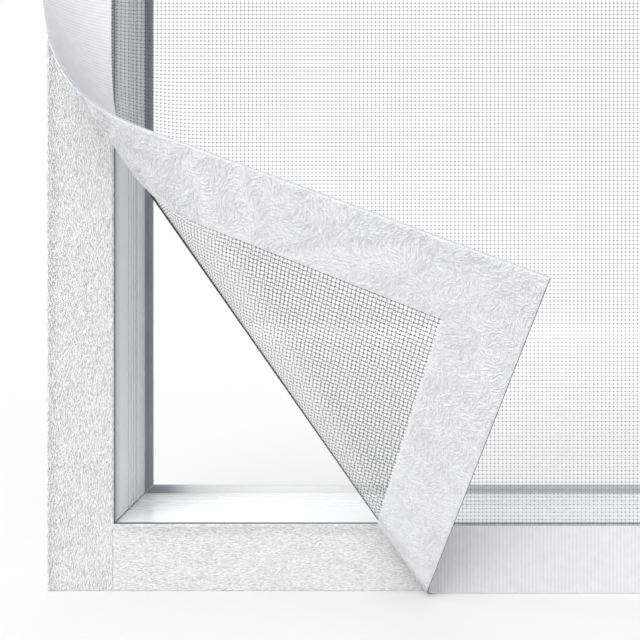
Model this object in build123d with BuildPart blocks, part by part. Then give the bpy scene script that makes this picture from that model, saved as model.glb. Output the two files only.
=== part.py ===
"""Hook-and-loop insect screen on a mitred frame, with its lower left corner peeled open."""
from build123d import *
import math
import os

# Screen and frame sizes, in millimetres
screen_width = 400.0
screen_height = 480.0
tape_width = 24.0
frame_depth = 54.0
mitre_gap = 0.06
wall = 2.5
web = 2.0
inner_edge_radius = 0.8

# Ledge at the back of the reveal, and the fine grooves before and on it
ledge_depth = 18.0
ledge_rise = 0.8
groove_width = 1.6
groove_depth = 0.5
groove_pitch = 4.2
wall_groove_rows = 3
ledge_groove_rows = 2

# Grey gasket round the back of the reveal
gasket_depth = 4.0
gasket_reach = 2.8
gasket_nose = 1.2
root_width = 2.0
root_depth = 1.5
root_clearance = 0.1

# Hook tape: a thin backing with rows of hooks along it
hook_backing = 0.7
hook_height = 0.9
hook_row_width = 1.5
hook_row_pitch = 2.3
hook_rows = 9

# Cloth border and mesh
border_inset = 1.0
loop_thickness = 0.8
mesh_thickness = 0.4
cover_thickness = 0.4
bond_gap = 0.5
mesh_inset = 1.0
ridge_width = 1.2
ridge_height = 0.3
thread_step = 8.5
gap_size = 6.4
gap_every = 4
opening_margin = 1.5

# Peeled corner: where the curl leaves the frame and where the flap begins, along two edges
left_peel_start = 279.0
bottom_peel_start = 143.0
left_peel_end = 125.0
bottom_peel_end = 126.0
wrap_angle = 145.0
curl_sections = 7
trim_reach = 3.0

# Worked out from the sizes above
frame_face = tape_width
front_y = -frame_depth / 2
hook_thickness = hook_backing + hook_height
mesh_y = front_y - hook_thickness - loop_thickness - bond_gap - mesh_thickness / 2
trim_span = (-trim_reach, trim_reach)
mesh_span = (-mesh_thickness / 2, mesh_thickness / 2)
loop_span = (mesh_thickness / 2 + bond_gap, mesh_thickness / 2 + bond_gap + loop_thickness)
cover_span = (-mesh_thickness / 2 - bond_gap - cover_thickness, -mesh_thickness / 2 - bond_gap)
ledge_start = frame_depth - ledge_depth
half_width = screen_width / 2

# One plane per side: local x runs inward from the outer edge, local y runs back through the frame
left_side = Plane(origin=(-half_width, front_y, 0), x_dir=(1, 0, 0), z_dir=(0, 0, 1))
right_side = Plane(origin=(half_width, front_y, screen_height), x_dir=(-1, 0, 0), z_dir=(0, 0, -1))
bottom_side = Plane(origin=(half_width, front_y, 0), x_dir=(0, 0, 1), z_dir=(-1, 0, 0))
top_side = Plane(origin=(-half_width, front_y, screen_height), x_dir=(0, 0, -1), z_dir=(1, 0, 0))


def front_plane(y):
    """Front view plane with local x and y from the lower left corner; it extrudes to the viewer."""
    return Plane(origin=(-half_width, y, 0), x_dir=(1, 0, 0), z_dir=(0, -1, 0))


# The curl is part of a round cone: every ruling of the bent cloth meets at its apex
cross = left_peel_start * bottom_peel_end - left_peel_end * bottom_peel_start
apex_x = bottom_peel_start * bottom_peel_end * (left_peel_start - left_peel_end) / cross
apex_z = left_peel_start * (1 - apex_x / bottom_peel_start)
start_turn = math.atan2(left_peel_start, -bottom_peel_start)
end_turn = math.atan2(left_peel_end, -bottom_peel_end)
cone_sine = (end_turn - start_turn) / math.radians(wrap_angle)
cone_cosine = math.sqrt(1 - cone_sine ** 2)
apex = Vector(apex_x - half_width, mesh_y, apex_z)
start_ruling = Vector(math.cos(start_turn), 0, math.sin(start_turn))
across = Vector(-math.sin(start_turn), 0, math.cos(start_turn))
back = Vector(0, 1, 0)
cone_axis = start_ruling * cone_cosine - back * cone_sine
spoke = start_ruling * cone_sine + back * cone_cosine
curl_axis = Axis(apex, cone_axis)


def ruling_frame(turn):
    """Direction of the ruling, of the cloth's travel and of its back, at an angle round the cone."""
    outward = spoke * math.cos(turn) + across * math.sin(turn)
    travel = across * math.cos(turn) - spoke * math.sin(turn)
    ruling = cone_axis * cone_cosine + outward * cone_sine
    return ruling, travel, outward * cone_cosine - cone_axis * cone_sine


def ruling_plane(share):
    """Plane across the cloth on one ruling: local x along it from the apex, local y to the back."""
    ruling, travel, behind = ruling_frame(math.radians(wrap_angle) * share)
    return Plane(origin=apex, x_dir=ruling, z_dir=travel)


def flap_plane(offset):
    """Plane of the flat flap, offset to the cloth's back; it extrudes to the cloth's front."""
    ruling, travel, behind = ruling_frame(math.radians(wrap_angle))
    return Plane(origin=apex + behind * offset, x_dir=ruling, z_dir=behind * -1)


def on_flap(x, z):
    """Place on the flap plane of a point given from the screen's lower left corner."""
    east, north = x - apex_x, z - apex_z
    return (
        east * math.cos(end_turn) + north * math.sin(end_turn),
        north * math.cos(end_turn) - east * math.sin(end_turn),
    )


def to_upright(x, share):
    """Distance from the apex at which a ruling meets the upright line at x."""
    return (x - apex_x) / math.cos(start_turn + (end_turn - start_turn) * share)


def to_level(z, share):
    """Distance from the apex at which a ruling meets the level line at z."""
    return (z - apex_z) / math.sin(start_turn + (end_turn - start_turn) * share)


def start_z(x):
    """Height at which the curl starts, above a place on the bottom edge."""
    return left_peel_start * (1 - x / bottom_peel_start)


def start_x(z):
    """Place along the bottom edge at which the curl starts, at a height."""
    return bottom_peel_start * (1 - z / left_peel_start)


def end_z(x):
    """Height at which the flap begins, above a place on the bottom edge."""
    return left_peel_end * (1 - x / bottom_peel_end)


def end_x(z):
    """Place along the bottom edge at which the flap begins, at a height."""
    return bottom_peel_end * (1 - z / left_peel_end)


def outline(*points):
    """Closed face through the points, in the sketch that is open."""
    Polygon(*points, align=None)


def ruling_section(inner, outer, span):
    """Cross section of one cloth layer on a ruling, between two distances from the apex."""
    with Locations(((inner + outer) / 2, (span[0] + span[1]) / 2)):
        Rectangle(outer - inner, span[1] - span[0])


def curl_blank(span):
    """Cross section of a cloth layer where the curl starts, longer than the cloth at both ends."""
    ruling_section(to_level(0, 0) - trim_reach, to_upright(0, 0) + trim_reach, span)


def frame_section():
    """Hollow frame section: two chambers, a rounded inner edge, a grooved ledge, a gasket groove."""
    with Locations((frame_face / 2, frame_depth / 2)):
        body = Rectangle(frame_face, frame_depth)
    fillet(body.vertices().sort_by_distance((frame_face, 0))[0], inner_edge_radius)
    with Locations((frame_face + ledge_rise / 2, ledge_start + ledge_depth / 2)):
        Rectangle(ledge_rise, ledge_depth)
    ledge_face = frame_face + ledge_rise
    for count, face, direction in ((wall_groove_rows, frame_face, -1), (ledge_groove_rows, ledge_face, 1)):
        rows = [ledge_start + direction * groove_pitch * (k + 1) for k in range(count)]
        with Locations(*[(face - groove_depth / 2, y) for y in rows]):
            Rectangle(groove_depth, groove_width, mode=Mode.SUBTRACT)
    chamber_length = (frame_depth - 2 * wall - web) / 2
    front_chamber = (frame_face / 2, wall + chamber_length / 2)
    back_chamber = (frame_face / 2, frame_depth - wall - chamber_length / 2)
    with Locations(front_chamber, back_chamber):
        Rectangle(frame_face - 2 * wall, chamber_length, mode=Mode.SUBTRACT)
    with Locations((frame_face + ledge_rise - root_depth / 2, frame_depth - gasket_depth / 2)):
        Rectangle(root_depth + root_clearance, root_width + 2 * root_clearance, mode=Mode.SUBTRACT)


def gasket_section():
    """Lip with a rounded nose that shows in the reveal, and the root that holds it in its groove."""
    face = frame_face + ledge_rise
    with Locations((face + gasket_reach / 2, frame_depth - gasket_depth / 2)):
        lip = Rectangle(gasket_reach, gasket_depth)
    fillet(lip.vertices().sort_by_distance((face + gasket_reach, frame_depth - gasket_depth))[0], gasket_nose)
    with Locations((face - root_depth / 2, frame_depth - gasket_depth / 2)):
        Rectangle(root_depth, root_width)


def hook_section():
    """Thin backing with rows of hooks that stand out of its face."""
    with Locations((tape_width / 2, -hook_backing / 2)):
        Rectangle(tape_width, hook_backing)
    with Locations((tape_width / 2, -hook_backing - hook_height / 2)):
        with GridLocations(hook_row_pitch, hook_height, hook_rows, 1):
            Rectangle(hook_row_width, hook_height)


# Front view of the mitred members, each half the gap clear of the corner diagonals
reach = 2 * tape_width
slip = mitre_gap / math.sqrt(2)
left_mitre = (
    (0, slip),
    (reach, reach + slip),
    (reach, screen_height - reach - slip),
    (0, screen_height - slip),
)
right_mitre = tuple((screen_width - x, z) for x, z in left_mitre)
bottom_mitre = (
    (slip, 0),
    (reach + slip, reach),
    (screen_width - reach - slip, reach),
    (screen_width - slip, 0),
)
top_mitre = tuple((x, screen_height - z) for x, z in bottom_mitre)

# Frame
with BuildPart() as frame_left:
    with BuildSketch(left_side):
        frame_section()
    extrude(amount=screen_height)
    with BuildSketch(front_plane(front_y + frame_depth)):
        outline(*left_mitre)
    extrude(amount=frame_depth, mode=Mode.INTERSECT)

with BuildPart() as frame_right:
    with BuildSketch(right_side):
        frame_section()
    extrude(amount=screen_height)
    with BuildSketch(front_plane(front_y + frame_depth)):
        outline(*right_mitre)
    extrude(amount=frame_depth, mode=Mode.INTERSECT)

with BuildPart() as frame_bottom:
    with BuildSketch(bottom_side):
        frame_section()
    extrude(amount=screen_width)
    with BuildSketch(front_plane(front_y + frame_depth)):
        outline(*bottom_mitre)
    extrude(amount=frame_depth, mode=Mode.INTERSECT)

with BuildPart() as frame_top:
    with BuildSketch(top_side):
        frame_section()
    extrude(amount=screen_width)
    with BuildSketch(front_plane(front_y + frame_depth)):
        outline(*top_mitre)
    extrude(amount=frame_depth, mode=Mode.INTERSECT)

# Gasket strips, mitred like the frame
with BuildPart() as gasket_left:
    with BuildSketch(left_side):
        gasket_section()
    extrude(amount=screen_height)
    with BuildSketch(front_plane(front_y + frame_depth)):
        outline(*left_mitre)
    extrude(amount=frame_depth, mode=Mode.INTERSECT)

with BuildPart() as gasket_right:
    with BuildSketch(right_side):
        gasket_section()
    extrude(amount=screen_height)
    with BuildSketch(front_plane(front_y + frame_depth)):
        outline(*right_mitre)
    extrude(amount=frame_depth, mode=Mode.INTERSECT)

with BuildPart() as gasket_bottom:
    with BuildSketch(bottom_side):
        gasket_section()
    extrude(amount=screen_width)
    with BuildSketch(front_plane(front_y + frame_depth)):
        outline(*bottom_mitre)
    extrude(amount=frame_depth, mode=Mode.INTERSECT)

with BuildPart() as gasket_top:
    with BuildSketch(top_side):
        gasket_section()
    extrude(amount=screen_width)
    with BuildSketch(front_plane(front_y + frame_depth)):
        outline(*top_mitre)
    extrude(amount=frame_depth, mode=Mode.INTERSECT)

# Hook tape: the two upright lengths run through, the two level lengths butt between them
with BuildPart() as hook_tape_left:
    with BuildSketch(left_side):
        hook_section()
    extrude(amount=screen_height)

with BuildPart() as hook_tape_right:
    with BuildSketch(right_side):
        hook_section()
    extrude(amount=screen_height)

with BuildPart() as hook_tape_bottom:
    with BuildSketch(bottom_side.offset(tape_width)):
        hook_section()
    extrude(amount=screen_width - 2 * tape_width)

with BuildPart() as hook_tape_top:
    with BuildSketch(top_side.offset(tape_width)):
        hook_section()
    extrude(amount=screen_width - 2 * tape_width)

# Flat outlines of the cloth border, from the lower left corner of the screen
low = border_inset
far_x = screen_width - border_inset
far_z = screen_height - border_inset
inner_x = screen_width - tape_width
inner_z = screen_height - tape_width
left_flat = (
    (low, start_z(low)),
    (tape_width, start_z(tape_width)),
    (tape_width, inner_z),
    (low, far_z),
)
left_flap = (
    (low, end_z(low)),
    (tape_width, end_z(tape_width)),
    (tape_width, tape_width),
    (low, low),
)
bottom_flat = (
    (start_x(low), low),
    (start_x(tape_width), tape_width),
    (inner_x, tape_width),
    (far_x, low),
)
bottom_flap = (
    (end_x(low), low),
    (end_x(tape_width), tape_width),
    (tape_width, tape_width),
    (low, low),
)
right_flat = ((far_x, low), (inner_x, tape_width), (inner_x, inner_z), (far_x, far_z))
top_flat = ((low, far_z), (tape_width, inner_z), (inner_x, inner_z), (far_x, far_z))
curl_shares = [k / (curl_sections - 1) for k in range(curl_sections)]

# Loop tape on the back of the border
with BuildPart() as loop_tape_left:
    with BuildSketch(ruling_plane(0)):
        curl_blank(loop_span)
    revolve(axis=curl_axis, revolution_arc=wrap_angle)
    for share in curl_shares:
        with BuildSketch(ruling_plane(share)):
            ruling_section(to_upright(tape_width, share), to_upright(low, share), trim_span)
    loft(mode=Mode.INTERSECT)
    with BuildSketch(front_plane(mesh_y + loop_span[1])):
        outline(*left_flat)
    extrude(amount=loop_thickness)
    with BuildSketch(flap_plane(loop_span[1])):
        outline(*[on_flap(x, z) for x, z in left_flap])
    extrude(amount=loop_thickness)

with BuildPart() as loop_tape_bottom:
    with BuildSketch(ruling_plane(0)):
        curl_blank(loop_span)
    revolve(axis=curl_axis, revolution_arc=wrap_angle)
    for share in curl_shares:
        with BuildSketch(ruling_plane(share)):
            ruling_section(to_level(low, share), to_level(tape_width, share), trim_span)
    loft(mode=Mode.INTERSECT)
    with BuildSketch(front_plane(mesh_y + loop_span[1])):
        outline(*bottom_flat)
    extrude(amount=loop_thickness)
    with BuildSketch(flap_plane(loop_span[1])):
        outline(*[on_flap(x, z) for x, z in bottom_flap])
    extrude(amount=loop_thickness)

with BuildPart() as loop_tape_right:
    with BuildSketch(front_plane(mesh_y + loop_span[1])):
        outline(*right_flat)
    extrude(amount=loop_thickness)

with BuildPart() as loop_tape_top:
    with BuildSketch(front_plane(mesh_y + loop_span[1])):
        outline(*top_flat)
    extrude(amount=loop_thickness)

# Ribbed cover tape on the front of the border
with BuildPart() as cover_tape_left:
    with BuildSketch(ruling_plane(0)):
        curl_blank(cover_span)
    revolve(axis=curl_axis, revolution_arc=wrap_angle)
    for share in curl_shares:
        with BuildSketch(ruling_plane(share)):
            ruling_section(to_upright(tape_width, share), to_upright(low, share), trim_span)
    loft(mode=Mode.INTERSECT)
    with BuildSketch(front_plane(mesh_y + cover_span[1])):
        outline(*left_flat)
    extrude(amount=cover_thickness)
    with BuildSketch(flap_plane(cover_span[1])):
        outline(*[on_flap(x, z) for x, z in left_flap])
    extrude(amount=cover_thickness)

with BuildPart() as cover_tape_bottom:
    with BuildSketch(ruling_plane(0)):
        curl_blank(cover_span)
    revolve(axis=curl_axis, revolution_arc=wrap_angle)
    for share in curl_shares:
        with BuildSketch(ruling_plane(share)):
            ruling_section(to_level(low, share), to_level(tape_width, share), trim_span)
    loft(mode=Mode.INTERSECT)
    with BuildSketch(front_plane(mesh_y + cover_span[1])):
        outline(*bottom_flat)
    extrude(amount=cover_thickness)
    with BuildSketch(flap_plane(cover_span[1])):
        outline(*[on_flap(x, z) for x, z in bottom_flap])
    extrude(amount=cover_thickness)

with BuildPart() as cover_tape_right:
    with BuildSketch(front_plane(mesh_y + cover_span[1])):
        outline(*right_flat)
    extrude(amount=cover_thickness)

with BuildPart() as cover_tape_top:
    with BuildSketch(front_plane(mesh_y + cover_span[1])):
        outline(*top_flat)
    extrude(amount=cover_thickness)

# Mesh cloth: one thin wall with thread ridges both ways and some of its gaps, bent with the border
edge = border_inset + mesh_inset
inside = tape_width + opening_margin
slack = 1.2 * thread_step
mesh_flat = (
    (edge, start_z(edge)),
    (edge, screen_height - edge),
    (screen_width - edge, screen_height - edge),
    (screen_width - edge, edge),
    (start_x(edge), edge),
)
mesh_flap = ((edge, end_z(edge)), (edge, edge), (end_x(edge), edge))
ridge_flat = (
    (inside, start_z(inside) + slack),
    (inside, screen_height - inside),
    (screen_width - inside, screen_height - inside),
    (screen_width - inside, inside),
    (start_x(inside) + slack, inside),
)
ridge_flap = ((inside, end_z(inside) - slack), (inside, inside), (end_x(inside) - slack, inside))
columns = int((screen_width - 2 * inside) / thread_step)
rows = int((screen_height - 2 * inside) / thread_step)
centre = (half_width, screen_height / 2)
flap_spin = Location(on_flap(*centre) + (0,), (0, 0, -math.degrees(end_turn)))
first_x = half_width - (columns - 2) * thread_step / 2
first_z = screen_height / 2 - (rows - 2) * thread_step / 2
cells = [
    (i, j, first_x + i * thread_step, first_z + j * thread_step)
    for i in range(columns - 1)
    for j in range(rows - 1)
]
flat_gaps = [
    (x, z)
    for i, j, x, z in cells
    if i % gap_every == gap_every // 2 and j % gap_every == gap_every // 2 and z > start_z(x) + 2 * slack
]
flap_gaps = [
    Location(on_flap(x, z) + (0,), (0, 0, -math.degrees(end_turn)))
    for i, j, x, z in cells
    if i % 2 == 0 and j % 2 == 0 and z < end_z(x) - 2 * slack
]

with BuildPart() as mesh_panel:
    with BuildSketch(ruling_plane(0)):
        curl_blank(mesh_span)
    revolve(axis=curl_axis, revolution_arc=wrap_angle)
    for share in curl_shares:
        with BuildSketch(ruling_plane(share)):
            ruling_section(to_level(edge, share), to_upright(edge, share), trim_span)
    loft(mode=Mode.INTERSECT)
    with BuildSketch(front_plane(mesh_y + mesh_span[1])):
        outline(*mesh_flat)
    extrude(amount=mesh_thickness)
    with BuildSketch(flap_plane(mesh_span[1])):
        outline(*[on_flap(x, z) for x, z in mesh_flap])
    extrude(amount=mesh_thickness)
    # Upright threads stand out of the front
    with BuildSketch(front_plane(mesh_y + mesh_span[0])):
        with Locations(centre):
            with GridLocations(thread_step, thread_step, columns, 1):
                Rectangle(ridge_width, screen_height)
        with BuildLine():
            Polyline(*ridge_flat, close=True)
        make_face(mode=Mode.INTERSECT)
    extrude(amount=ridge_height)
    with BuildSketch(flap_plane(mesh_span[0])):
        with Locations(flap_spin):
            with GridLocations(thread_step, thread_step, columns, 1):
                Rectangle(ridge_width, screen_height)
        with BuildLine():
            Polyline(*[on_flap(x, z) for x, z in ridge_flap], close=True)
        make_face(mode=Mode.INTERSECT)
    extrude(amount=ridge_height)
    # Level threads stand out of the back
    with BuildSketch(front_plane(mesh_y + mesh_span[1])):
        with Locations(centre):
            with GridLocations(thread_step, thread_step, 1, rows):
                Rectangle(screen_width, ridge_width)
        with BuildLine():
            Polyline(*ridge_flat, close=True)
        make_face(mode=Mode.INTERSECT)
    extrude(amount=-ridge_height)
    with BuildSketch(flap_plane(mesh_span[1])):
        with Locations(flap_spin):
            with GridLocations(thread_step, thread_step, 1, rows):
                Rectangle(screen_width, ridge_width)
        with BuildLine():
            Polyline(*[on_flap(x, z) for x, z in ridge_flap], close=True)
        make_face(mode=Mode.INTERSECT)
    extrude(amount=-ridge_height)
    # Gaps between the threads
    with BuildSketch(front_plane(mesh_y + mesh_span[1])):
        with Locations(*flat_gaps):
            Rectangle(gap_size, gap_size)
    extrude(amount=mesh_thickness, mode=Mode.SUBTRACT)
    with BuildSketch(flap_plane(mesh_span[1])):
        with Locations(*flap_gaps):
            Rectangle(gap_size, gap_size)
    extrude(amount=mesh_thickness, mode=Mode.SUBTRACT)

os.makedirs("parts", exist_ok=True)
frame_left.part.label = "frame_left"
export_step(frame_left.part, "parts/frame_left.step")
frame_right.part.label = "frame_right"
export_step(frame_right.part, "parts/frame_right.step")
frame_bottom.part.label = "frame_bottom"
export_step(frame_bottom.part, "parts/frame_bottom.step")
frame_top.part.label = "frame_top"
export_step(frame_top.part, "parts/frame_top.step")
gasket_left.part.label = "gasket_left"
export_step(gasket_left.part, "parts/gasket_left.step")
gasket_right.part.label = "gasket_right"
export_step(gasket_right.part, "parts/gasket_right.step")
gasket_bottom.part.label = "gasket_bottom"
export_step(gasket_bottom.part, "parts/gasket_bottom.step")
gasket_top.part.label = "gasket_top"
export_step(gasket_top.part, "parts/gasket_top.step")
hook_tape_left.part.label = "hook_tape_left"
export_step(hook_tape_left.part, "parts/hook_tape_left.step")
hook_tape_right.part.label = "hook_tape_right"
export_step(hook_tape_right.part, "parts/hook_tape_right.step")
hook_tape_bottom.part.label = "hook_tape_bottom"
export_step(hook_tape_bottom.part, "parts/hook_tape_bottom.step")
hook_tape_top.part.label = "hook_tape_top"
export_step(hook_tape_top.part, "parts/hook_tape_top.step")
loop_tape_left.part.label = "loop_tape_left"
export_step(loop_tape_left.part, "parts/loop_tape_left.step")
loop_tape_right.part.label = "loop_tape_right"
export_step(loop_tape_right.part, "parts/loop_tape_right.step")
loop_tape_bottom.part.label = "loop_tape_bottom"
export_step(loop_tape_bottom.part, "parts/loop_tape_bottom.step")
loop_tape_top.part.label = "loop_tape_top"
export_step(loop_tape_top.part, "parts/loop_tape_top.step")
cover_tape_left.part.label = "cover_tape_left"
export_step(cover_tape_left.part, "parts/cover_tape_left.step")
cover_tape_right.part.label = "cover_tape_right"
export_step(cover_tape_right.part, "parts/cover_tape_right.step")
cover_tape_bottom.part.label = "cover_tape_bottom"
export_step(cover_tape_bottom.part, "parts/cover_tape_bottom.step")
cover_tape_top.part.label = "cover_tape_top"
export_step(cover_tape_top.part, "parts/cover_tape_top.step")
mesh_panel.part.label = "mesh_panel"
export_step(mesh_panel.part, "parts/mesh_panel.step")
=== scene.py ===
"""Looks of the hook-and-loop insect screen: yarn mesh, ribbed tape, fleece, hooks, frame and studio."""
import itertools
import math

import bpy
import numpy as np
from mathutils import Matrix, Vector


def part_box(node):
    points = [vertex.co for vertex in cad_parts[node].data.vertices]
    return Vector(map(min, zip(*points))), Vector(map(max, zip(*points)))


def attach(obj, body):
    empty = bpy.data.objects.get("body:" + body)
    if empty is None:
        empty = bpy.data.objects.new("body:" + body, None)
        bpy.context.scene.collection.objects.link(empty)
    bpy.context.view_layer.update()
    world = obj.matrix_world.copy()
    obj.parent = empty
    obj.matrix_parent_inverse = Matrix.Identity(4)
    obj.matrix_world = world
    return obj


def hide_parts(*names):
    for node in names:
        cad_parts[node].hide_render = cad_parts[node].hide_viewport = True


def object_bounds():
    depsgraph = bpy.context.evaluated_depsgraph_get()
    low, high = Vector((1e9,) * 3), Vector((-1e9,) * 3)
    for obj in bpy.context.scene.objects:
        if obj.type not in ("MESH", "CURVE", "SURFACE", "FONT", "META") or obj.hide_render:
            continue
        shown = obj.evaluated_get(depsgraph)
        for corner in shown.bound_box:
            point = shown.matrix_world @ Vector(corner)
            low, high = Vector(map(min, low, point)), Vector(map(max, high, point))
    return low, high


bl_info = {
    "name": "Insect screen dresser",
    "version": (1, 0, 0),
    "blender": (4, 5, 0),
    "location": "View3D > Sidebar > Insect screen",
    "description": "Gives the insect screen its yarn, tapes, fleece, hooks, frame finish and studio",
    "category": "Object",
}

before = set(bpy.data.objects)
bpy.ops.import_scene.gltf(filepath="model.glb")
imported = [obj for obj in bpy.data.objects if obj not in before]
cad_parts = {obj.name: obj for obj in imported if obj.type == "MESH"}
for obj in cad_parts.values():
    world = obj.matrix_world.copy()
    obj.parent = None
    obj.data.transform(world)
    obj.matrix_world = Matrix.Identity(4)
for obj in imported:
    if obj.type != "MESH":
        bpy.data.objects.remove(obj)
cad_low, cad_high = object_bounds()

# Places read from the solids, in metres
MM = 0.001
COVER_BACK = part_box("cover_tape_right")[1].y
LOOP_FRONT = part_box("loop_tape_right")[0].y
LOOP_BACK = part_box("loop_tape_right")[1].y
HOOK_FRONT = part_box("hook_tape_right")[0].y
FRAME_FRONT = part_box("frame_right")[0].y
MESH_Y = (COVER_BACK + LOOP_FRONT) / 2
TAPE_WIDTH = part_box("hook_tape_left")[1].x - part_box("hook_tape_left")[0].x

# Grooves in the frame's ledge, in metres: the first from the frame's front, the last from the first
FIRST_GROOVE = 23.4 * MM
GROOVE_PITCH = 4.2 * MM
LAST_GROOVE = 5 * GROOVE_PITCH
GROOVE_HALF_WIDTH = 1.1 * MM

# Sides of the screen, and those that stand upright
SIDES = ("left", "right", "bottom", "top")
UPRIGHT = ("left", "right")

# Sockets of a Mix node that is set to colours
SHARE, FIRST, SECOND, MIXED = 0, 6, 7, 2

# What the camera sees: its distance from the hooks, the width and middle of the view there, in metres
CAMERA_DISTANCE = 304 * MM
VIEW_WIDTH = 228.57 * MM
VIEW_MIDDLE = (-102.1 * MM, 97.1 * MM)

# Width of the camera's sensor, in millimetres
SENSOR_WIDTH = 36


def hex_colour(code):
    """Linear colour of an sRGB hex value."""
    shares = [int(code[i:i + 2], 16) / 255 for i in (1, 3, 5)]
    return tuple(v / 12.92 if v <= 0.04045 else ((v + 0.055) / 1.055) ** 2.4 for v in shares) + (1.0,)


def length(label, note, default):
    """A size property in metres."""
    return bpy.props.FloatProperty(name=label, description=note, default=default, unit="LENGTH", precision=5)


def colour(label, note, code):
    """A colour property, written as an sRGB hex value."""
    return bpy.props.FloatVectorProperty(
        name=label, description=note, default=hex_colour(code), subtype="COLOR", size=4, min=0, max=1
    )


class ScreenSizes(bpy.types.PropertyGroup):
    """Sizes of the cloth, of what stands on its tapes and of the peeled corner."""

    left_start: length("Left peel start", "Height on the left edge where the curl starts", 279 * MM)
    bottom_start: length("Bottom peel start", "Place on the bottom edge where the curl starts", 143 * MM)
    left_end: length("Left peel end", "Height on the left edge where the flap is flat again", 125 * MM)
    bottom_end: length("Bottom peel end", "Place on the bottom edge where the flap is flat again", 126 * MM)
    wrap: bpy.props.FloatProperty(
        name="Wrap", description="How far the cloth turns over", default=math.radians(145), subtype="ANGLE"
    )
    edge_inset: length("Edge inset", "From the frame's outer edge to the cloth's edge", 0.25 * MM)
    mesh_inset: length("Mesh inset", "From the frame's outer edge to the mesh's edge", 2 * MM)
    # Width of the painted shade rim along the loop tape's edge; the pile keeps clear of it too.
    rim_shade_width: length("Sealed edge", "Width of the heat-sealed rim of the loop tape", 0.22 * MM)
    pitch_across: length("Pitch across", "From one upright yarn to the next, 18 to the inch", 1.41 * MM)
    pitch_up: length("Pitch up", "From one level yarn to the next, 19 to the inch", 1.34 * MM)
    yarn_width: length("Yarn width", "Width of a coated yarn, seen from the front", 0.17 * MM)
    yarn_depth: length("Yarn depth", "Depth of a coated yarn, through the cloth", 0.44 * MM)
    bond: length("Bond", "From the middle of the mesh to the tape bonded to each side of it", 0.03 * MM)
    cover: length("Cover", "Thickness of the cover tape without its ribs", 0.3 * MM)
    rib_pitch: length("Rib pitch", "From one rib of the cover tape to the next", 1.3 * MM)
    rib_height: length("Rib height", "How far a rib stands out of the cover tape", 0.16 * MM)
    fleece_ground: length("Fleece ground", "Thickness of the knitted ground under the pile", 0.35 * MM)
    pile: length("Pile", "Height of the loops above their ground", 0.45 * MM)
    loop_span: length("Loop span", "Length of one loop of the brushed pile", 2.4 * MM)
    loop_spacing: length("Loop spacing", "From one loop of the pile to the next", 0.9 * MM)
    fibre: length("Fibre", "Radius of a loop or hook, drawn thick enough to show", 0.085 * MM)
    hook_ground: length("Hook ground", "Thickness of the hook tape's woven ground", 0.7 * MM)
    hook_bed: length("Hook bed", "Height of the matted bed between the hooks", 0.25 * MM)
    hook_span: length("Hook span", "Length of one hook", 1.3 * MM)
    hook_spacing: length("Hook spacing", "From one hook to the next", 0.7 * MM)
    # Width of the painted shade band of darker hooks, along the left tape's outer edge and the bottom tape's
    # upper edge.
    hook_shade_band: length("Selvedge", "Duller edge of the hook tape", 4.5 * MM)


class ScreenColours(bpy.types.PropertyGroup):
    """Colours of the screen, written as they look in plain daylight."""

    pvc: colour("Frame", "Extruded white PVC", "#F3F4F5")
    rubber: colour("Gasket", "Grey rubber", "#9FA0A6")
    # Painted light: the paler grey on the sill's gasket where the open corner lets light fall on it.
    sill_light: colour("Dust", "Pale dust that settles on the gasket", "#DADADA")
    yarn: colour("Yarn", "Smoke-grey coated yarn", "#5A5C60")
    ribbed: colour("Cover tape", "Ribbed polyester tape", "#F0F0F2")
    # Painted shade: the grey painted between the ribs of the cover tape, deeper near the curl.
    rib_shade: colour("Rib valley", "Between two ribs of the cover tape", "#C6C6C9")
    fleece_light: colour("Fleece light", "Pile on top", "#FBFBFC")
    fleece_dark: colour("Fleece dark", "Pile underneath", "#EEEEF1")
    hook_light: colour("Hook light", "Hooks on top", "#FBFBFB")
    hook_dark: colour("Hook dark", "Hooks underneath", "#C6C6C7")
    # Grey of the cloth tapes' sides, darker than their faces.
    tape_side_grey: colour("Heat-cut edge", "Side of a tape of the cloth border", "#C2C4C8")
    # Painted shade: the dark rim along the loop tape's edge stands for the shadow line at the flap's edge.
    rim: colour("Sealed rim", "Heat-sealed rim of the loop tape", "#8A8C90")
    # Painted shade: the dark grey on the hook tape's inner sides stands for the shadow line where the tape
    # meets the frame's reveal.
    adhesive: colour("Adhesive", "Acrylic adhesive at the side of the hook tape", "#6C6E72")
    # Also painted shade: the same grey along the frame's inner front edge and in the grooves of its ledge.
    seam: colour("Mitre seam", "Weld line where two frame bars meet", "#66686C")
    floor: colour("Floor", "Pale studio floor", "#B4B4B4")


def sizes():
    """The sizes in use."""
    return bpy.context.scene.insect_screen_sizes


def paint(name, share=1.0):
    """One of the colours in use as a plain tuple, darkened to a share of itself if asked."""
    return tuple(share * v for v in getattr(bpy.context.scene.insect_screen_colours, name)[:3]) + (1.0,)


# Materials


def add_node(tree, kind, inputs=None, output=0, **settings):
    """Adds one node with its settings, values and links; gives one of its outputs, or all for None."""
    node = tree.nodes.new(kind)
    for name, value in settings.items():
        setattr(node, name, value)
    for socket, value in (inputs or {}).items():
        if isinstance(value, bpy.types.NodeSocket):
            tree.links.new(value, node.inputs[socket])
        else:
            node.inputs[socket].default_value = value
    return node.outputs if output is None else node.outputs[output]


def new_material(name, values):
    """A material with a Principled shader whose constant values sit on its own sockets."""
    material = bpy.data.materials.new(name)
    material.use_nodes = True
    shader = material.node_tree.nodes["Principled BSDF"]
    for socket, value in values.items():
        shader.inputs[socket].default_value = value
    return material, material.node_tree, shader


def dress(tree, shader, tone, relief=None, depth=0.0):
    """Gives the shader a tone all over, and the relief of a 0 to 1 height that is depth metres deep."""
    tree.links.new(tone, shader.inputs["Base Color"])
    if relief is not None:
        normal = add_node(tree, "ShaderNodeBump", {"Distance": depth, "Height": relief})
        tree.links.new(normal, shader.inputs["Normal"])


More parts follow.
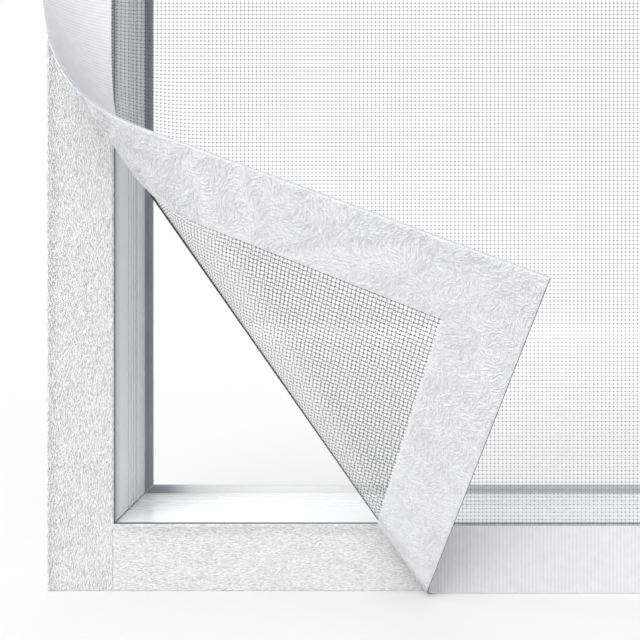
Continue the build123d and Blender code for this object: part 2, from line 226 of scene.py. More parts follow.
def streaks(tree, source, grain, detail=3):
    """Output of a noise whose grain has the given size along each axis, in metres."""
    spread = add_node(tree, "ShaderNodeMapping", {"Vector": source, "Scale": [1 / g for g in grain]})
    return add_node(tree, "ShaderNodeTexNoise", {"Vector": spread, "Scale": 1, "Detail": detail})


def apart(tree, first, second):
    """How far apart two values are."""
    off = add_node(tree, "ShaderNodeMath", {0: first, 1: second}, operation="SUBTRACT")
    return add_node(tree, "ShaderNodeMath", {0: off}, operation="ABSOLUTE")


def turned_over(tree, flat):
    """How far the cloth has turned over at each place: 0 where the curl starts, 1 where the flap is flat."""
    apex, start, fan = curl()
    away = add_node(tree, "ShaderNodeVectorMath", {0: flat, 1: tuple(apex)}, operation="SUBTRACT")
    along, across = (
        add_node(tree, "ShaderNodeVectorMath", {0: away, 1: tuple(axis)}, "Value", operation="DOT_PRODUCT")
        for axis in ruling_axes(start)
    )
    turn = add_node(tree, "ShaderNodeMath", {0: across, 1: along}, operation="ARCTAN2")
    return add_node(tree, "ShaderNodeMath", {0: turn, 1: fan}, operation="DIVIDE")


def past_outline(tree, place):
    """How far each place lies outside the object's outline along x and along z, negative inside it."""
    middle, half = (cad_low + cad_high) / 2, (cad_high - cad_low) / 2
    off = add_node(tree, "ShaderNodeVectorMath", {0: place, 1: middle}, operation="SUBTRACT")
    off = add_node(tree, "ShaderNodeVectorMath", {0: off}, operation="ABSOLUTE")
    past = add_node(tree, "ShaderNodeVectorMath", {0: off, 1: half}, operation="SUBTRACT")
    parts = add_node(tree, "ShaderNodeSeparateXYZ", {0: past}, None)
    return parts["X"], parts["Z"]


def coated_yarn():
    """Coated polyester yarn, thin and smoky: darkest where two cross, fainter along the fold, and drawn
    denser on the turned corner as painted shade.
    """
    material, tree, shader = new_material(
        "coated_polyester_yarn", {"Base Color": paint("yarn"), "Roughness": 0.5, "IOR": 1.5}
    )
    flat = add_node(tree, "ShaderNodeAttribute", output="Vector", attribute_name="flat")
    over = turned_over(tree, flat)
    # Painted shade: the yarn on the turned-over corner is drawn denser, so the corner looks darker.
    hung, turned = 0.15, 0.4
    reach = {"Value": over, "From Min": 0.7, "From Max": 1.2, "To Min": hung, "To Max": turned}
    density = add_node(tree, "ShaderNodeMapRange", reach)
    bead = yarn_crossings(tree, flat)
    density = add_node(tree, "ShaderNodeMath", {0: density, 1: bead}, operation="ADD")
    fold, fold_share = 0.65, 0.3
    off = apart(tree, over, fold)
    reach = {"Value": off, "From Min": 0.12, "From Max": 0.5, "To Min": fold_share, "To Max": 1}
    spread = add_node(tree, "ShaderNodeMapRange", reach)
    density = add_node(tree, "ShaderNodeMath", {0: density, 1: spread}, operation="MULTIPLY")
    tree.links.new(density, shader.inputs["Alpha"])
    return material


def yarn_crossings(tree, flat):
    """What the coating adds to a yarn's density where it beads at a crossing."""
    s = sizes()
    off = add_node(tree, "ShaderNodeVectorMath", {0: flat, 1: first_yarn()}, operation="SUBTRACT")
    parts = add_node(tree, "ShaderNodeSeparateXYZ", {0: off}, None)
    off_upright, off_level = (
        add_node(tree, "ShaderNodeMath", {0: parts[axis], 1: pitch / 2}, operation="PINGPONG")
        for axis, pitch in (("X", s.pitch_across), ("Z", s.pitch_up))
    )
    off_both = add_node(tree, "ShaderNodeMath", {0: off_upright, 1: off_level}, operation="MAXIMUM")
    bead, bare = 0.12 * MM, 0.3 * MM
    reach = {"Value": off_both, "From Min": bead, "From Max": bare, "To Min": 0.4, "To Max": 0}
    return add_node(tree, "ShaderNodeMapRange", reach)


def ribbed_polyester(upright):
    """Woven polyester tape with cross ribs: matt white, with fine thread lines along each rib, painted shade
    between the ribs and more painted shade where it bends in the curl.
    """
    material, tree, shader = new_material(
        "ribbed_polyester_" + ("upright" if upright else "level"),
        {
            "Roughness": 0.8,
            "IOR": 1.5,
            "Specular IOR Level": 0.2,
            "Sheen Weight": 0.03,
            "Sheen Roughness": 0.5,
        },
    )
    flat = add_node(tree, "ShaderNodeAttribute", output="Vector", attribute_name="flat")
    thread, run = 0.35 * MM, 6 * MM
    lines = streaks(tree, flat, (run, thread, thread) if upright else (thread, thread, run))
    mix = {SHARE: lines, FIRST: paint("ribbed", 0.88), SECOND: paint("ribbed")}
    woven = add_node(tree, "ShaderNodeMix", mix, MIXED, data_type="RGBA")
    # Painted shade between the ribs and near the curl.
    mix = {SHARE: painted_rib_shade(tree, flat), FIRST: woven, SECOND: paint("rib_shade")}
    tone = add_node(tree, "ShaderNodeMix", mix, MIXED, data_type="RGBA")
    dress(tree, shader, tone, lines, 0.08 * MM)
    return material


def painted_rib_shade(tree, flat):
    """Painted shade between two ribs, by how deep each place lies and made uneven, with more painted shade
    near the inside of the curl.
    """
    s = sizes()
    depth = add_node(tree, "ShaderNodeSeparateXYZ", {0: flat}, "Y")
    bottom = MESH_Y - s.bond - s.cover
    reach = {"Value": depth, "From Min": bottom - s.rib_height, "From Max": bottom, "To Max": 0.9}
    rib_shade = add_node(tree, "ShaderNodeMapRange", reach)
    patch = 3 * MM
    uneven = streaks(tree, flat, (patch, patch, patch))
    rib_shade = add_node(tree, "ShaderNodeMath", {0: rib_shade, 1: uneven}, operation="MULTIPLY")
    # Painted shade near the inside of the curl, darkest at this share of the turn.
    darkest_turn = 0.4
    off = apart(tree, turned_over(tree, flat), darkest_turn)
    reach = {"Value": off, "From Min": 0.05, "From Max": 0.4, "To Min": 0.3, "To Max": 0}
    bend_shade = add_node(tree, "ShaderNodeMapRange", reach)
    return add_node(tree, "ShaderNodeMath", {0: rib_shade, 1: bend_shade}, operation="ADD")


def toned(name, colours, values):
    """Fibre whose tone differs from one to the next, as loose fibres catch the light differently."""
    material, tree, shader = new_material(name, values)
    share = add_node(tree, "ShaderNodeAttribute", output="Fac", attribute_name="tone")
    mix = {SHARE: share, FIRST: paint(colours + "_dark"), SECOND: paint(colours + "_light")}
    dress(tree, shader, add_node(tree, "ShaderNodeMix", mix, MIXED, data_type="RGBA"))
    return material


def brushed_nylon():
    """Brushed nylon loops: soft, white and slightly cool, each strand its own tone."""
    values = {"Roughness": 0.6, "IOR": 1.53, "Sheen Weight": 0.2, "Sheen Roughness": 0.4}
    return toned("brushed_nylon_pile", "fleece", values)


def hook_nylon():
    """Cut nylon hooks: stiff white monofilament with a slight gloss on top."""
    return toned("cut_nylon_hooks", "hook", {"Roughness": 0.42, "IOR": 1.53})


def knitted_ground(name, colours, grain, depth, shaded_rim=False):
    """Matted cloth under hooks or pile: short streaks with shallow relief, and a painted shade rim along the
    edge if asked.
    """
    material, tree, shader = new_material(name, {"Roughness": 0.85, "IOR": 1.5})
    flat = add_node(tree, "ShaderNodeAttribute", output="Vector", attribute_name="flat")
    lines = streaks(tree, flat, grain, detail=4)
    sharper = add_node(tree, "ShaderNodeMapRange", {"Value": lines, "From Min": 0.35, "From Max": 0.65})
    mix = {SHARE: sharper, FIRST: paint(colours + "_dark"), SECOND: paint(colours + "_light")}
    tone = add_node(tree, "ShaderNodeMix", mix, MIXED, data_type="RGBA")
    if shaded_rim:
        s = sizes()
        past = past_outline(tree, flat)[1]
        # Painted shade along the tape's edge.
        rim_shade_start = -s.edge_inset - s.rim_shade_width
        at_rim = add_node(tree, "ShaderNodeMath", {0: past, 1: rim_shade_start}, operation="GREATER_THAN")
        mix = {SHARE: at_rim, FIRST: tone, SECOND: paint("rim")}
        tone = add_node(tree, "ShaderNodeMix", mix, MIXED, data_type="RGBA")
    dress(tree, shader, tone, lines, depth)
    return material


def cut_edge(name, tint):
    """Cut side of a tape: a speckle of cut yarn ends and of the layer that holds them, in the given tint;
    the hook tape's dark tint is painted shade.
    """
    material, tree, shader = new_material(name, {"Roughness": 0.7, "IOR": 1.47})
    flat = add_node(tree, "ShaderNodeAttribute", output="Vector", attribute_name="flat")
    yarn_end = 0.5 * MM
    speckle = streaks(tree, flat, (yarn_end, yarn_end, yarn_end))
    mix = {SHARE: speckle, FIRST: paint(tint, 0.75), SECOND: paint(tint)}
    dress(tree, shader, add_node(tree, "ShaderNodeMix", mix, MIXED, data_type="RGBA"))
    return material


def extruded_pvc(upright):
    """Extruded white PVC: satin, with faint die lines along the bar, dark weld lines at the mitres, and
    painted shade along the inner front edge and in the grooves; the level bars are rubbed smoother.
    """
    material, tree, shader = new_material(
        "extruded_pvc_" + ("upright" if upright else "level"),
        {"Roughness": 0.45 if upright else 0.25, "IOR": 1.53},
    )
    place = add_node(tree, "ShaderNodeTexCoord", output="Object")
    line, run = 1.1 * MM, 4000 * MM
    dies = streaks(tree, place, (line, line, run) if upright else (run, line, line), detail=2)
    mix = {SHARE: dies, FIRST: paint("pvc", 0.9 if upright else 0.96), SECOND: paint("pvc")}
    bare = add_node(tree, "ShaderNodeMix", mix, MIXED, data_type="RGBA")
    mix = {SHARE: seams_and_shade(tree, place, upright), FIRST: bare, SECOND: paint("seam")}
    tone = add_node(tree, "ShaderNodeMix", mix, MIXED, data_type="RGBA")
    dress(tree, shader, tone, dies, (0.03 if upright else 0.01) * MM)
    return material


def seams_and_shade(tree, place, upright):
    """1 on the diagonals where two bars meet, and painted shade: a dark line along the tape at the inner
    edge that fades into the wall, less in the grooves.
    """
    depth = add_node(tree, "ShaderNodeSeparateXYZ", {0: place}, "Y")
    x, z = past_outline(tree, place)
    off = apart(tree, x, z)
    reach = {"Value": off, "From Min": 0.15 * MM, "From Max": 0.4 * MM, "To Min": 1, "To Max": 0}
    weld = add_node(tree, "ShaderNodeMapRange", reach)
    nearest = add_node(tree, "ShaderNodeMath", {0: x, 1: z}, operation="MAXIMUM")
    inner = 2 * MM - TAPE_WIDTH
    inside = add_node(tree, "ShaderNodeMath", {0: nearest, 1: inner}, operation="LESS_THAN")
    # Painted shade: a dark line where the tape meets the wall, then a softer shade fading back into the
    # wall, stronger on the upright bars.
    edge = FRAME_FRONT + 3 * MM
    reach = {"Value": depth, "From Min": edge - 1.5 * MM, "From Max": edge, "To Min": 1, "To Max": 0}
    mark = add_node(tree, "ShaderNodeMapRange", reach)
    share = 0.4 if upright else 0.08
    reach = {"Value": depth, "From Min": edge, "From Max": edge + 7 * MM, "To Min": share, "To Max": 0}
    fade = add_node(tree, "ShaderNodeMapRange", reach)
    groove = groove_lines(tree, depth, 0.06 if upright else 0.04)
    for other in (fade, groove):
        mark = add_node(tree, "ShaderNodeMath", {0: mark, 1: other}, operation="MAXIMUM")
    mark = add_node(tree, "ShaderNodeMath", {0: mark, 1: inside}, operation="MULTIPLY")
    return add_node(tree, "ShaderNodeMath", {0: weld, 1: mark}, operation="MAXIMUM")


def groove_lines(tree, depth, share):
    """Shade in the grooves of the ledge, up to the given share at the back and fainter at the front."""
    first = FRAME_FRONT + FIRST_GROOVE
    past = add_node(tree, "ShaderNodeMath", {0: depth, 1: first}, operation="SUBTRACT")
    off = add_node(tree, "ShaderNodeMath", {0: past, 1: GROOVE_PITCH / 2}, operation="PINGPONG")
    reach = {"Value": off, "From Min": 0.6 * MM, "From Max": GROOVE_HALF_WIDTH, "To Min": share, "To Max": 0}
    groove = add_node(tree, "ShaderNodeMapRange", reach)
    front, back = -GROOVE_HALF_WIDTH, LAST_GROOVE + GROOVE_HALF_WIDTH
    reach = {"Value": past, "From Min": front, "From Max": LAST_GROOVE, "To Min": 0.3, "To Max": 1}
    deeper = add_node(tree, "ShaderNodeMapRange", reach)
    after = add_node(tree, "ShaderNodeMath", {0: past, 1: front}, operation="GREATER_THAN")
    before = add_node(tree, "ShaderNodeMath", {0: past, 1: back}, operation="LESS_THAN")
    for factor in (deeper, after, before):
        groove = add_node(tree, "ShaderNodeMath", {0: groove, 1: factor}, operation="MULTIPLY")
    return groove


def gasket_rubber():
    """Extruded grey rubber: matt, slightly mottled, with a fine grain, and paler where painted light falls
    on the sill at the open corner.
    """
    material, tree, shader = new_material("grey_epdm_rubber", {"Roughness": 0.72, "IOR": 1.5})
    place = add_node(tree, "ShaderNodeTexCoord", output="Object")
    mottle = streaks(tree, place, (9 * MM, 3 * MM, 9 * MM), detail=4)
    mix = {SHARE: mottle, FIRST: paint("rubber", 0.8), SECOND: paint("rubber")}
    bare = add_node(tree, "ShaderNodeMix", mix, MIXED, data_type="RGBA")
    # Painted light on the sill's gasket at the open corner.
    mix = {SHARE: painted_sill_light(tree, place), FIRST: bare, SECOND: paint("sill_light")}
    tone = add_node(tree, "ShaderNodeMix", mix, MIXED, data_type="RGBA")
    grit = 0.4 * MM
    dress(tree, shader, tone, streaks(tree, place, (grit, grit, grit)), 0.03 * MM)
    return material


def painted_sill_light(tree, place):
    """Share of painted light on the sill's gasket: all of it where the corner is open, less where the flap
    shades it.
    """
    parts = add_node(tree, "ShaderNodeSeparateXYZ", {0: place}, None)
    height = 50 * MM
    lit_share = add_node(tree, "ShaderNodeMath", {0: parts["Z"], 1: height}, operation="LESS_THAN")
    left_bare, left_lit, right_lit, right_bare = -166 * MM, -156 * MM, -70 * MM, -45 * MM
    for bare, full, least in ((left_bare, left_lit, 0), (right_bare, right_lit, 0.4)):
        reach = {"Value": parts["X"], "From Min": bare, "From Max": full, "To Min": least}
        open_air = add_node(tree, "ShaderNodeMapRange", reach)
        lit_share = add_node(tree, "ShaderNodeMath", {0: lit_share, 1: open_air}, operation="MULTIPLY")
    return lit_share


# Modelling


def select_only(*objs):
    """Leaves only these objects selected, the first one active."""
    bpy.ops.object.select_all(action="DESELECT")
    for obj in objs:
        obj.select_set(True)
    bpy.context.view_layer.objects.active = objs[0]


def coordinates(obj):
    """Places of an object's vertices, one row each."""
    places = np.empty(len(obj.data.vertices) * 3)
    obj.data.vertices.foreach_get("co", places)
    return places.reshape(-1, 3)


def apply_modifier(obj, kind, **settings):
    """Adds a modifier with its settings and applies it."""
    select_only(obj)
    modifier = obj.modifiers.new(kind.title(), kind)
    for name, value in settings.items():
        setattr(modifier, name, value)
    bpy.ops.object.modifier_apply(modifier=modifier.name)


def cut(obj, point, normal, clear_outer=False):
    """Cuts a mesh along a plane, and drops what lies on the normal's side if asked."""
    select_only(obj)
    bpy.ops.object.mode_set(mode="EDIT")
    bpy.ops.mesh.select_all(action="SELECT")
    bpy.ops.mesh.bisect(plane_co=point, plane_no=normal, clear_outer=clear_outer)
    bpy.ops.object.mode_set(mode="OBJECT")


def curl():
    """The cone that the peeled corner bends round: apex, turn of its first ruling and fan."""
    s = sizes()
    cross = s.left_start * s.bottom_end - s.left_end * s.bottom_start
    apex_x = s.bottom_start * s.bottom_end * (s.left_start - s.left_end) / cross
    apex_z = s.left_start * (1 - apex_x / s.bottom_start)
    start = math.atan2(s.left_start, -s.bottom_start)
    fan = math.atan2(s.left_end, -s.bottom_end) - start
    return np.array((cad_low.x + apex_x, MESH_Y, cad_low.z + apex_z)), start, fan


def ruling_axes(turn):
    """Directions along and across the ruling at this turn, in the flat cloth."""
    return np.array((math.cos(turn), 0, math.sin(turn))), np.array((-math.sin(turn), 0, math.cos(turn)))


def note_flat(obj):
    """Notes where each point of the flat cloth lies, for patterns that follow the cloth."""
    flat = coordinates(obj)
    note = obj.data.attributes.new("flat", "FLOAT_VECTOR", "POINT")
    note.data.foreach_set("vector", flat.astype(np.float32).ravel())
    return flat


def bend(obj):
    """Notes the flat cloth, then rolls its corner round the cone."""
    apex, start, fan = curl()
    slope = fan / sizes().wrap
    flat = note_flat(obj)
    along, across = ruling_axes(start)
    back = np.array((0, 1, 0))
    level = math.sqrt(1 - slope ** 2)
    axis = level * along - slope * back
    spoke = slope * along + level * back
    away = flat - apex
    reach = np.hypot(away @ along, away @ across)[:, None]
    turn = np.arctan2(away @ across, away @ along)
    held = np.clip(turn, 0, fan)
    rolled = (held / slope)[:, None]
    over = (turn - held)[:, None]
    outward = np.cos(rolled) * spoke + np.sin(rolled) * across
    travel = np.cos(rolled) * across - np.sin(rolled) * spoke
    ruling = level * axis + slope * outward
    behind = level * outward - slope * axis
    placed = apex + reach * (np.cos(over) * ruling + np.sin(over) * travel) + away[:, 1:2] * behind
    obj.data.vertices.foreach_set("co", placed.ravel())
    obj.data.update()


def first_yarn():
    """Where the first upright and the first level yarn cross."""
    inset = sizes().mesh_inset
    return (cad_low.x + inset, MESH_Y, cad_low.z + inset)


def flat_strip(name, low, high, y, steps):
    """Starts a tape as a grid in the front plane, between two corners given in x and z."""
    bpy.ops.object.select_all(action="DESELECT")
    bpy.ops.mesh.primitive_grid_add(
        x_subdivisions=steps[0],
        y_subdivisions=steps[1],
        size=1,
        location=((low[0] + high[0]) / 2, y, (low[1] + high[1]) / 2),
        rotation=(math.pi / 2, 0, 0),
    )
    strip = bpy.context.object
    strip.name = name
    strip.data.name = name
    strip.scale = (high[0] - low[0], high[1] - low[1], 1)
    bpy.ops.object.transform_apply(location=True, rotation=True, scale=True)
    return strip


def border_strip(name, side, y, along_step, across_steps):
    """One length of the cloth border as a flat grid, mitred at both ends."""
    inset = sizes().edge_inset
    left, right = cad_low.x + inset, cad_high.x - inset
    low, high = cad_low.z + inset, cad_high.z - inset
    reach = TAPE_WIDTH - inset
    corners = {
        "left": ((left, low), (left + reach, high)),
        "right": ((right - reach, low), (right, high)),
        "bottom": ((left, low), (right, low + reach)),
        "top": ((left, high - reach), (right, high)),
    }[side]
    run = high - low if side in UPRIGHT else right - left
    along_steps = 2 * round(run / along_step / 2)
    steps = (across_steps, along_steps) if side in UPRIGHT else (along_steps, across_steps)
    strip = flat_strip(name, *corners, y, steps)
    middle = (Vector(corners[0]) + Vector(corners[1])) / 2
    centre = Vector(((left + right) / 2, (low + high) / 2))
    for corner in itertools.product((left, right), (low, high)):
        place = Vector(corner)
        inward = Vector((math.copysign(1, centre.x - place.x), math.copysign(1, centre.y - place.y)))
        normal = Vector((inward.y, -inward.x))
        if normal.dot(middle - place) > 0:
            normal = -normal
        touches = all(corners[0][k] - MM < corner[k] < corners[1][k] + MM for k in (0, 1))
        if touches:
            cut(strip, (place.x, 0, place.y), (normal.x, 0, normal.y), clear_outer=True)
    return strip


def paint_sides(obj, face_material, side_material):
    """Gives the broad faces one material and the cut sides another."""
    obj.data.materials.append(face_material)
    obj.data.materials.append(side_material)
    for face in obj.data.polygons:
        face.material_index = int(abs(face.normal.y) < 0.5)


def finish_piece(obj, slot, *nodes, smooth=40):
    """Shades a finished piece, puts it on the object and hides the parts it stands for."""
    select_only(obj)
    bpy.ops.object.shade_smooth_by_angle(angle=math.radians(smooth))
    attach(obj, "root")
    if nodes:
        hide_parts(*nodes)
    return obj


def model_strand(span, rise, radius, steps):
    """Models one arched strand by spinning a triangle, and gives its points and its triangles."""
    ring = (span * span / 4 + rise * rise) / (2 * rise)
    half_turn = math.atan2(span / 2, ring - rise)
    bpy.ops.object.select_all(action="DESELECT")
    bpy.ops.mesh.primitive_circle_add(
        vertices=3, radius=radius, fill_type="NGON", location=(0, 0, ring), rotation=(0, math.pi / 2, 0)
    )
    strand = bpy.context.object
    bpy.ops.object.transform_apply(location=True, rotation=True)
    bpy.ops.object.mode_set(mode="EDIT")
    bpy.ops.mesh.select_all(action="SELECT")
    bpy.ops.mesh.spin(steps=steps, angle=2 * half_turn, center=(0, 0, 0), axis=(0, 1, 0))
    bpy.ops.mesh.select_all(action="SELECT")
    bpy.ops.mesh.normals_make_consistent()
    bpy.ops.mesh.quads_convert_to_tris()
    bpy.ops.object.mode_set(mode="OBJECT")
    points = coordinates(strand)
    triangles = np.array([list(face.vertices) for face in strand.data.polygons])
    bpy.data.objects.remove(strand)
    turn = math.atan2(points[:, 0].mean(), points[:, 2].mean())
    level = np.array(((math.cos(turn), 0, math.sin(turn)), (0, 1, 0), (-math.sin(turn), 0, math.cos(turn))))
    points = points @ level
    points[:, 2] -= ring - rise
    return points, triangles


def scatter(name, strand, places, up, headings, scales, tones, inset):
    """Copies a strand to many places of a flat tape, standing towards up and kept inside its edges."""
    points, triangles = strand
    zero = np.zeros(len(places))
    ahead = np.stack((np.cos(headings), zero, np.sin(headings)), 1)
    upward = np.broadcast_to(up, ahead.shape)
    aside = np.cross(upward, ahead)
    local = points[None] * scales[:, None]
    spots = places[:, None] + sum(
        local[:, :, k:k + 1] * axis[:, None] for k, axis in enumerate((ahead, aside, upward))
    )
    spots = np.maximum(spots, (cad_low.x + inset, -np.inf, cad_low.z + inset))
    faces = triangles[None] + (np.arange(len(places)) * len(points))[:, None, None]
    mesh = bpy.data.meshes.new(name)
    mesh.from_pydata(spots.reshape(-1, 3), [], faces.reshape(-1, 3))
    note = mesh.attributes.new("tone", "FLOAT", "POINT")
    note.data.foreach_set("value", np.repeat(tones, len(points)).astype(np.float32))
    obj = bpy.data.objects.new(name, mesh)
    bpy.context.scene.collection.objects.link(obj)
    return obj


def jittered(low, high, spacing, random):
    """Evenly scattered places in a rectangle, each moved at random inside its own cell."""
    across = np.arange(low[0] + spacing / 2, high[0], spacing)
    up = np.arange(low[1] + spacing / 2, high[1], spacing)
    grid = np.stack(np.meshgrid(across, up), -1).reshape(-1, 2)
    return grid + random.uniform(-0.5, 0.5, grid.shape) * spacing


def on_tape(flat, y):
    """Places at depth y of points given from the lower left corner of the screen."""
    return np.stack((flat[:, 0] + cad_low.x, np.full(len(flat), y), flat[:, 1] + cad_low.z), 1)


def varied(count, random, *ranges):
    """Scales of many strands along, across and up, at random within these ranges."""
    return np.stack([random.uniform(*ends, count) for ends in ranges], 1)


def wander(places, grain, random):
    """A value that changes slowly from place to place, about -1 to 1."""
    waves, most = 6, 2.5
    total = np.zeros(len(places))
    for _ in range(waves):
        wave = random.normal(0, 1, 2) / grain
        total += np.sin(places @ wave + random.uniform(0, 2 * math.pi))
    return total / most


def peeled(places, margin):
    """Which places, from the lower left corner, lie on the part of the cloth that is peeled off."""
    s = sizes()
    return places[:, 1] < s.left_start * (1 - places[:, 0] / s.bottom_start) + margin


# Pieces


class INSECT_SCREEN_OT_mesh_cloth(bpy.types.Operator):
    """Weaves the insect mesh yarn by yarn and bends its corner"""

    bl_idname = "insect_screen.mesh_cloth"
    bl_label = "Mesh cloth"

    def execute(self, context):
        s = sizes()
        first = first_yarn()
        middle = (cad_low + cad_high) / 2
        width, height = 2 * (middle.x - first[0]), 2 * (middle.z - first[2])
        offset = s.yarn_depth / 10
        upright_place = (first[0], MESH_Y - offset, middle.z)
        level_place = (middle.x, MESH_Y + offset, first[2])
        layers = (
            self.yarns(upright_place, 0, height, (s.pitch_across, 0, 0), int(width / s.pitch_across)),
            self.yarns(level_place, math.pi / 2, width, (0, 0, s.pitch_up), int(height / s.pitch_up)),
        )
        select_only(*layers)
        bpy.ops.object.join()
        cloth = context.object
        cloth.name = "mesh_cloth"
        cloth.data.name = "mesh_cloth"
        apex, start, fan = curl()
        rulings = 26
        for k in range(rulings + 1):
            across = ruling_axes(start + fan * k / rulings)[1]
            cut(cloth, tuple(apex), tuple(across))
        bend(cloth)
        cloth.data.materials.clear()
        cloth.data.materials.append(coated_yarn())
        finish_piece(cloth, "insect_mesh", "mesh_panel", smooth=70)
        return {"FINISHED"}

    def yarns(self, place, turn, run, step, steps):
        """One direction of the weave: a flattened yarn, repeated step by step."""
        s = sizes()
        bpy.ops.object.select_all(action="DESELECT")
        bpy.ops.mesh.primitive_cylinder_add(
            vertices=6, radius=s.yarn_depth / 2, depth=run, location=place, rotation=(0, turn, 0)
        )
        yarn = bpy.context.object
        hexagon_width = s.yarn_depth * math.sqrt(0.75)
        yarn.scale.x = s.yarn_width / hexagon_width
        bpy.ops.object.transform_apply(location=True, rotation=True, scale=True)
        apply_modifier(
            yarn,
            "ARRAY",
            count=steps + 1,
            use_relative_offset=False,
            use_constant_offset=True,
            constant_offset_displace=step,
        )
        return yarn


class INSECT_SCREEN_OT_cover_tapes(bpy.types.Operator):
    """Makes the four ribbed tapes on the front of the border"""

    bl_idname = "insect_screen.cover_tapes"
    bl_label = "Ribbed cover tapes"

    def execute(self, context):
        s = sizes()
        edge = cut_edge("cut_polyester_edge", "tape_side_grey")
        faces = {upright: ribbed_polyester(upright) for upright in (True, False)}
        across_steps = {"left": 8, "right": 1, "bottom": 16, "top": 1}
        for side in SIDES:
            front = MESH_Y - s.bond - s.cover
            tape = border_strip("ribbed_tape_" + side, side, front, s.rib_pitch / 2, across_steps[side])
            self.raise_ribs(tape, side)
            apply_modifier(tape, "SOLIDIFY", thickness=s.cover, offset=-1)
            paint_sides(tape, faces[side in UPRIGHT], edge)
            bend(tape)
            finish_piece(tape, "ribbed_tape", "cover_tape_" + side)
        return {"FINISHED"}

    def raise_ribs(self, tape, side):
        """Lifts every other row of the grid, which makes the ribs across the tape."""
        s = sizes()
        select_only(tape)
        bpy.ops.object.mode_set(mode="EDIT")
        bpy.ops.mesh.select_mode(type="VERT")
        bpy.ops.mesh.select_all(action="DESELECT")
        bpy.ops.object.mode_set(mode="OBJECT")
        axis, low, high = (2, cad_low.z, cad_high.z) if side in UPRIGHT else (0, cad_low.x, cad_high.x)
        run = high - low - 2 * s.edge_inset
        steps = 2 * round(run / s.rib_pitch)
        rows = (coordinates(tape)[:, axis] - low - s.edge_inset) / (run / steps)
        tape.data.vertices.foreach_set("select", np.abs(rows % 2 - 1) < 0.25)
        bpy.ops.object.mode_set(mode="EDIT")
        bpy.ops.transform.translate(value=(0, -s.rib_height, 0))
        bpy.ops.object.mode_set(mode="OBJECT")


class INSECT_SCREEN_OT_loop_tapes(bpy.types.Operator):
    """Makes the knitted ground of the four loop tapes"""

    bl_idname = "insect_screen.loop_tapes"
    bl_label = "Loop tapes"

    def execute(self, context):
        s = sizes()
        edge = cut_edge("cut_nylon_edge", "tape_side_grey")
        knit, relief = 0.6 * MM, 0.15 * MM
        grain = (knit, knit, knit)
        ground = knitted_ground("knitted_nylon_ground", "fleece", grain, relief, shaded_rim=True)
        unbent = (40 * MM, 1)
        steps = {"left": (2 * MM, 12), "right": unbent, "bottom": (0.8 * MM, 16), "top": unbent}
        for side in SIDES:
            along_step, across_steps = steps[side]
            front = MESH_Y + s.bond
            tape = border_strip("loop_tape_ground_" + side, side, front, along_step, across_steps)
            apply_modifier(tape, "SOLIDIFY", thickness=s.fleece_ground, offset=-1)
            self.press(tape, front)
            paint_sides(tape, ground, edge)
            bend(tape)
            finish_piece(tape, "loop_fleece", "loop_tape_" + side)
        return {"FINISHED"}

    def press(self, tape, front):
        """Brings the fleece onto the hooks wherever the cloth is not peeled off them."""
        places = coordinates(tape)
        held = ~peeled(places[:, (0, 2)] - (cad_low.x, cad_low.z), 0)
        at_back = places[:, 1] > front + 0.1 * MM
        places[held & at_back, 1] = LOOP_BACK
        tape.data.vertices.foreach_set("co", places.ravel())


class INSECT_SCREEN_OT_loop_pile(bpy.types.Operator):
    """Brushes the pile of loops on the two peeled lengths of the border"""

    bl_idname = "insect_screen.loop_pile"
    bl_label = "Loop pile"

    def execute(self, context):
        s = sizes()
        fibre = brushed_nylon()
        sunk = 0.08 * MM
        foot = MESH_Y + s.bond + s.fleece_ground - sunk
        strand = model_strand(s.loop_span, s.pile, s.fibre, 3)
        past_curl = 6 * MM
        reach = {"left": (TAPE_WIDTH, s.left_start), "bottom": (s.bottom_start, TAPE_WIDTH)}
        for seed, (side, high) in enumerate(reach.items(), start=11):
            random = np.random.default_rng(seed)
            flat = jittered((s.edge_inset, s.edge_inset), high, s.loop_spacing, random)
            above = flat[:, 1] > flat[:, 0]
            flat = flat[(above if side == "left" else ~above) & peeled(flat, past_curl)]
            count = len(flat)
            headings = 2.2 * wander(flat, 5 * MM, random) + random.normal(0, 0.45, count)
            scales = varied(count, random, (0.6, 1.35), (0.8, 1.3), (0.7, 1.1))
            tones = 0.65 + 0.15 * wander(flat, 3 * MM, random) + random.normal(0, 0.22, count)
            pile = scatter(
                "loop_pile_" + side,
                strand,
                on_tape(flat, foot),
                up=(0, 1, 0),
                headings=headings,
                scales=scales,
                tones=np.clip(tones, 0, 1),
                inset=s.edge_inset + s.rim_shade_width,
            )
            bend(pile)
            pile.data.materials.append(fibre)
            finish_piece(pile, "loop_fleece", smooth=80)
        return {"FINISHED"}


